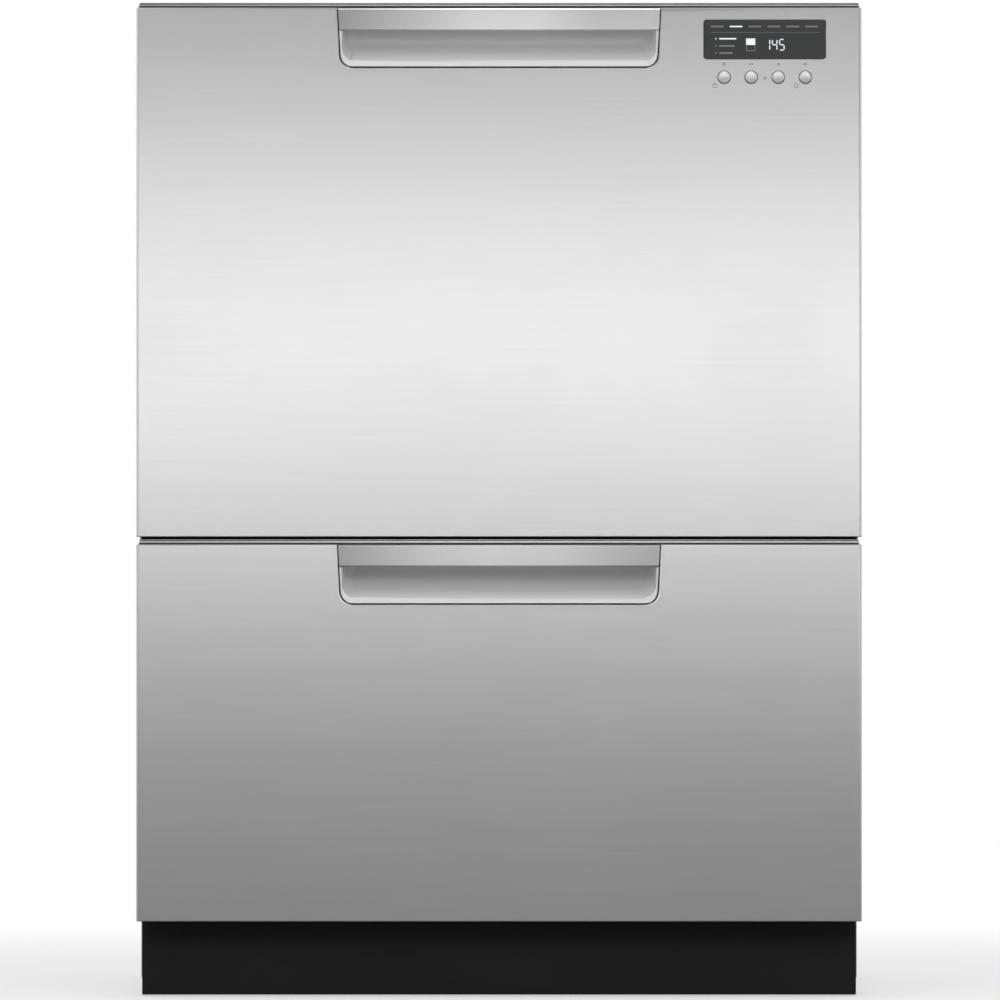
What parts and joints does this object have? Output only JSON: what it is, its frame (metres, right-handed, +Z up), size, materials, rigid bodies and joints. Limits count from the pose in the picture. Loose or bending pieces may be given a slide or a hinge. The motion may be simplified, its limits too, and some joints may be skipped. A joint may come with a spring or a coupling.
{
  "type": "dishwasher drawer",
  "caption": "Two stacked stainless wash drawers in one under-counter cabinet, with recessed grips, a display, racks, lids and a black toe kick.",
  "frame": {"origin": "on the floor under the middle of the whole width and depth", "axes": "+Z up, -Y out of the drawer fronts towards the user, +X to the right as the user sees it"},
  "size_m": [0.599, 0.573, 0.821],
  "materials": {
    "cabinet_steel": "galvanised and lacquered sheet, satin",
    "panel_steel": "stainless, brushed from side to side",
    "trim_steel": "stainless strip, brushed from side to side",
    "handle_steel": "stainless bar, finely brushed",
    "cup_steel": "pressed cup, silver satin",
    "kick_black": "black powder coat",
    "rail_black": "black powder coat",
    "pan_steel": "galvanised sheet",
    "runner_steel": "zinc plated, satin",
    "liner_plastic": "moulded, fine grain",
    "tub_plastic": "moulded, smooth satin",
    "lid_plastic": "moulded, smooth satin",
    "seal_rubber": "soft, matt",
    "actuator_plastic": "moulded",
    "window_black": "smoked window, gloss",
    "housing_plastic": "moulded",
    "button_metal": "satin",
    "pump_plastic": "moulded",
    "spray_plastic": "moulded, satin",
    "filter_plastic": "moulded, satin",
    "rack_coating": "nylon coating on wire",
    "cup_rack_plastic": "nylon coating on wire",
    "basket_plastic": "moulded, satin",
    "dispenser_plastic": "moulded, satin",
    "door_plastic": "moulded, satin",
    "valve_plastic": "moulded, satin",
    "tail_plastic": "moulded",
    "gland_rubber": "matt",
    "foot_plastic": "moulded"
  },
  "bodies": {
    "root": {"cabinet_wrap": "cabinet_steel", "rear_panel": "cabinet_steel", "base_pan": "pan_steel", "toe_kick": "kick_black", "mid_rail": "rail_black", "fixed_runners": "runner_steel", "lid_actuators": "actuator_plastic", "inlet_valve": "valve_plastic", "drain_tails": "tail_plastic", "cord_gland": "gland_rubber"},
    "front_left_foot": {"foot_front_left": "foot_plastic"},
    "front_right_foot": {"foot_front_right": "foot_plastic"},
    "rear_left_foot": {"foot_rear_left": "foot_plastic"},
    "rear_right_foot": {"foot_rear_right": "foot_plastic"},
    "upper_drawer": {"upper_front_panel": "panel_steel", "upper_top_trim": "trim_steel", "upper_grip_bar": "handle_steel", "upper_handle_cup": "cup_steel", "upper_front_liner": "liner_plastic", "upper_tub": "tub_plastic", "upper_runner_inner": "runner_steel", "upper_wash_pump": "pump_plastic", "upper_filter_plate": "filter_plastic", "upper_base_rack": "rack_coating", "upper_cutlery_basket": "basket_plastic", "upper_dispenser": "dispenser_plastic", "display_window": "window_black", "control_housing": "housing_plastic"},
    "upper_runner_middles": {"upper_runner_mid": "runner_steel"},
    "upper_lid_unit": {"upper_lid": "lid_plastic", "upper_lid_seal": "seal_rubber"},
    "upper_spray_rotor": {"upper_spray_arm": "spray_plastic"},
    "upper_folding_row": {"upper_fold_tines": "rack_coating"},
    "upper_left_cup_shelf": {"upper_cup_rack_left": "cup_rack_plastic"},
    "upper_right_cup_shelf": {"upper_cup_rack_right": "cup_rack_plastic"},
    "upper_dispenser_flap": {"upper_detergent_door": "door_plastic"},
    "lower_drawer": {"lower_front_panel": "panel_steel", "lower_top_trim": "trim_steel", "lower_grip_bar": "handle_steel", "lower_handle_cup": "cup_steel", "lower_front_liner": "liner_plastic", "lower_tub": "tub_plastic", "lower_runner_inner": "runner_steel", "lower_wash_pump": "pump_plastic", "lower_filter_plate": "filter_plastic", "lower_base_rack": "rack_coating", "lower_cutlery_basket": "basket_plastic", "lower_dispenser": "dispenser_plastic"},
    "lower_runner_middles": {"lower_runner_mid": "runner_steel"},
    "lower_lid_unit": {"lower_lid": "lid_plastic", "lower_lid_seal": "seal_rubber"},
    "lower_spray_rotor": {"lower_spray_arm": "spray_plastic"},
    "lower_folding_row": {"lower_fold_tines": "rack_coating"},
    "lower_left_cup_shelf": {"lower_cup_rack_left": "cup_rack_plastic"},
    "lower_right_cup_shelf": {"lower_cup_rack_right": "cup_rack_plastic"},
    "lower_dispenser_flap": {"lower_detergent_door": "door_plastic"},
    "key_1": {"button_1": "button_metal"},
    "key_2": {"button_2": "button_metal"},
    "key_3": {"button_3": "button_metal"},
    "key_4": {"button_4": "button_metal"}
  },
  "joints": [
    {"name": "front_left_foot_adjust", "type": "slide", "parent": "root", "child": "front_left_foot", "axis": [0, 0, -1], "range_m": [0, 0.06]},
    {"name": "front_right_foot_adjust", "type": "slide", "parent": "root", "child": "front_right_foot", "axis": [0, 0, -1], "range_m": [0, 0.06]},
    {"name": "rear_left_foot_adjust", "type": "slide", "parent": "root", "child": "rear_left_foot", "axis": [0, 0, -1], "range_m": [0, 0.06]},
    {"name": "rear_right_foot_adjust", "type": "slide", "parent": "root", "child": "rear_right_foot", "axis": [0, 0, -1], "range_m": [0, 0.06]},
    {"name": "upper_drawer_slide", "type": "slide", "parent": "root", "child": "upper_drawer", "axis": [0, -1, 0], "range_m": [0, 0.49]},
    {"name": "upper_runner_slide", "type": "slide", "parent": "root", "child": "upper_runner_middles", "axis": [0, -1, 0], "range_m": [0, 0.245]},
    {"name": "upper_lid_lower", "type": "slide", "parent": "root", "child": "upper_lid_unit", "axis": [0, 0, -1], "range_m": [0, 0.006]},
    {"name": "upper_spray_spin", "type": "hinge", "parent": "upper_drawer", "child": "upper_spray_rotor", "pos_m": [0, -0.00675, 0.544], "axis": [0, 0, 1], "continuous": true},
    {"name": "upper_tines_fold", "type": "hinge", "parent": "upper_drawer", "child": "upper_folding_row", "pos_m": [0, -0.074, 0.58052], "axis": [1, 0, 0], "range_deg": [0, 86]},
    {"name": "upper_left_cup_shelf_lift", "type": "hinge", "parent": "upper_drawer", "child": "upper_left_cup_shelf", "pos_m": [-0.2445, -0.023, 0.6485], "axis": [0, -1, 0], "range_deg": [0, 90]},
    {"name": "upper_right_cup_shelf_lift", "type": "hinge", "parent": "upper_drawer", "child": "upper_right_cup_shelf", "pos_m": [0.2445, -0.023, 0.6485], "axis": [0, 1, 0], "range_deg": [0, 90]},
    {"name": "upper_flap_open", "type": "hinge", "parent": "upper_drawer", "child": "upper_dispenser_flap", "pos_m": [-0.0475, -0.22825, 0.677], "axis": [-1, 0, 0], "range_deg": [0, 100]},
    {"name": "lower_drawer_slide", "type": "slide", "parent": "root", "child": "lower_drawer", "axis": [0, -1, 0], "range_m": [0, 0.49]},
    {"name": "lower_runner_slide", "type": "slide", "parent": "root", "child": "lower_runner_middles", "axis": [0, -1, 0], "range_m": [0, 0.245]},
    {"name": "lower_lid_lower", "type": "slide", "parent": "root", "child": "lower_lid_unit", "axis": [0, 0, -1], "range_m": [0, 0.006]},
    {"name": "lower_spray_spin", "type": "hinge", "parent": "lower_drawer", "child": "lower_spray_rotor", "pos_m": [0, -0.00675, 0.134], "axis": [0, 0, 1], "continuous": true},
    {"name": "lower_tines_fold", "type": "hinge", "parent": "lower_drawer", "child": "lower_folding_row", "pos_m": [0, -0.074, 0.17052], "axis": [1, 0, 0], "range_deg": [0, 86]},
    {"name": "lower_left_cup_shelf_lift", "type": "hinge", "parent": "lower_drawer", "child": "lower_left_cup_shelf", "pos_m": [-0.2445, -0.023, 0.2385], "axis": [0, -1, 0], "range_deg": [0, 90]},
    {"name": "lower_right_cup_shelf_lift", "type": "hinge", "parent": "lower_drawer", "child": "lower_right_cup_shelf", "pos_m": [0.2445, -0.023, 0.2385], "axis": [0, 1, 0], "range_deg": [0, 90]},
    {"name": "lower_flap_open", "type": "hinge", "parent": "lower_drawer", "child": "lower_dispenser_flap", "pos_m": [-0.0475, -0.22825, 0.267], "axis": [-1, 0, 0], "range_deg": [0, 100]},
    {"name": "button_1_press", "type": "slide", "parent": "upper_drawer", "child": "key_1", "axis": [0, 1, 0], "range_m": [0, 0.0015], "stiffness_N_per_m": 400, "springref_m": -0.002},
    {"name": "button_2_press", "type": "slide", "parent": "upper_drawer", "child": "key_2", "axis": [0, 1, 0], "range_m": [0, 0.0015], "stiffness_N_per_m": 400, "springref_m": -0.002},
    {"name": "button_3_press", "type": "slide", "parent": "upper_drawer", "child": "key_3", "axis": [0, 1, 0], "range_m": [0, 0.0015], "stiffness_N_per_m": 400, "springref_m": -0.002},
    {"name": "button_4_press", "type": "slide", "parent": "upper_drawer", "child": "key_4", "axis": [0, 1, 0], "range_m": [0, 0.0015], "stiffness_N_per_m": 400, "springref_m": -0.002}
  ],
  "couplings": [
    {"joint": "upper_runner_slide", "follows": "upper_drawer_slide", "ratio": 0.5},
    {"joint": "lower_runner_slide", "follows": "lower_drawer_slide", "ratio": 0.5}
  ]
}
